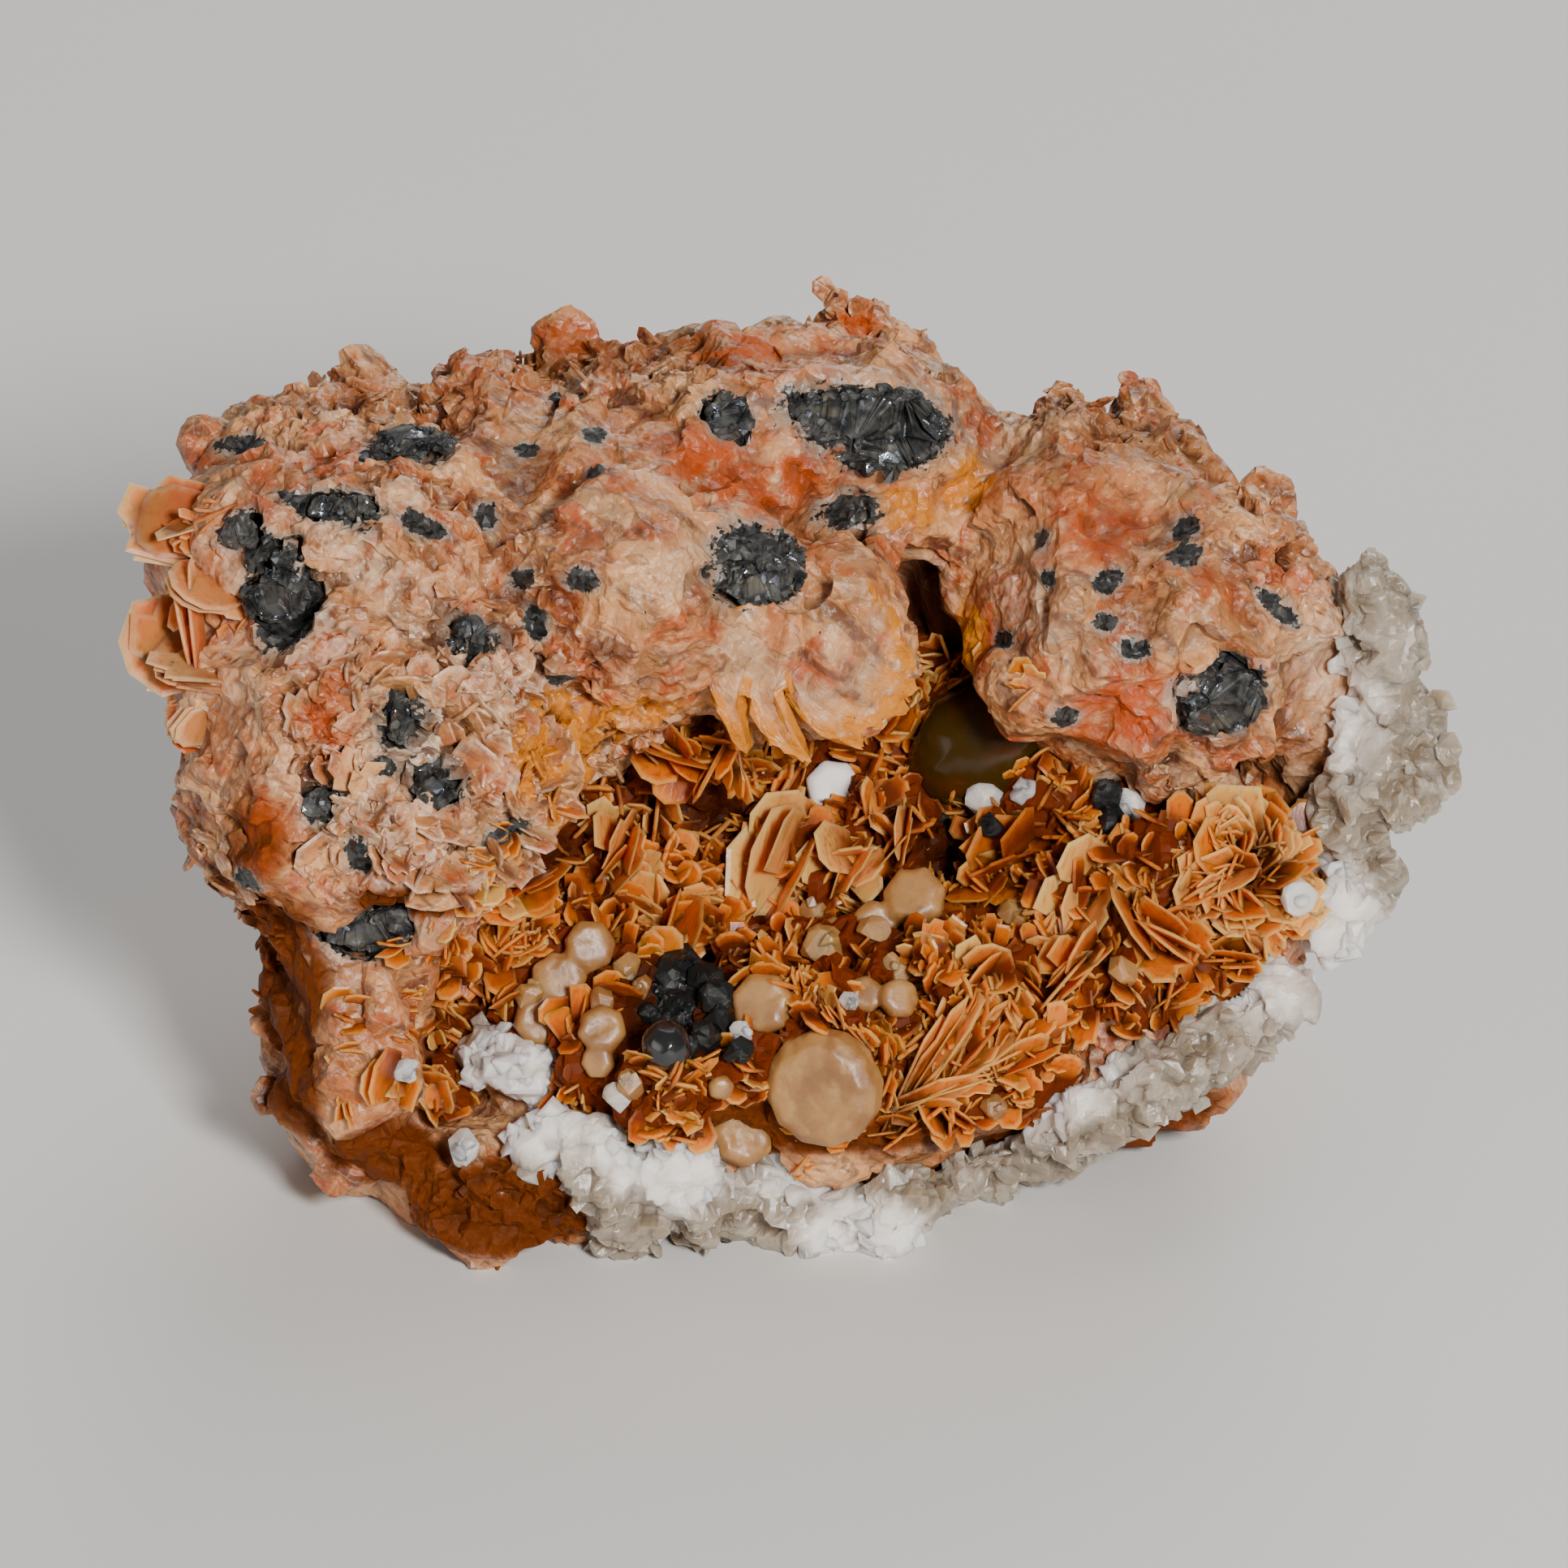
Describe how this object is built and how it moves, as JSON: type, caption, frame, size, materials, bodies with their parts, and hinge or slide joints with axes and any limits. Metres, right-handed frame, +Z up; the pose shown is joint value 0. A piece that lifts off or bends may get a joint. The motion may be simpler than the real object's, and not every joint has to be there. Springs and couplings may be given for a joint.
{
  "type": "mineral specimen",
  "caption": "Hand specimen of massive salmon barite round an open vug lined with tabular blades, with white and honey cerussite crystals and dark galena grains, cut flat at the foot.",
  "frame": {"origin": "middle of the flat foot, on the surface that the specimen stands on", "axes": "+X to the right along the specimen's long side, -Y towards the viewer of the open vug, +Z up"},
  "size_m": [0.0703, 0.0426, 0.0428],
  "materials": {
    "barite_matrix": "salmon, crumbly cleavage flakes, satin",
    "barite_blades": "orange translucent blades, glossy faces",
    "cerussite_white": "white sugary crust, greasy lustre",
    "cerussite_honey": "honey-beige translucent crystals, high lustre",
    "galena": "dark lead grey, dull metallic with bright cleavage glints"
  },
  "bodies": {
    "root": {"barite_fan_left": "barite_blades", "barite_matrix": "barite_matrix", "barite_rosette": "barite_blades", "cerussite_beside_pit": "cerussite_honey", "cerussite_chip": "cerussite_honey", "cerussite_curl_chain": "cerussite_honey", "cerussite_disc": "cerussite_honey", "cerussite_edge_crust": "cerussite_white", "cerussite_fan_pair": "cerussite_honey", "cerussite_floor_left": "cerussite_honey", "cerussite_left_pair": "cerussite_honey", "cerussite_left_three": "cerussite_honey", "cerussite_rim_crust": "cerussite_white", "cerussite_roof_bead": "cerussite_white", "cerussite_tuft": "cerussite_white", "galena_centre": "galena", "galena_crown": "galena", "galena_glint": "galena", "galena_knob_lower": "galena", "galena_knob_right": "galena", "galena_knob_upper": "galena", "galena_left": "galena", "galena_left_upper": "galena", "galena_peak": "galena", "galena_pit": "galena", "galena_right": "galena", "galena_streak": "galena", "galena_top": "galena", "galena_underside": "galena", "vug_barite_crust": "barite_blades"}
  },
  "joints": []
}
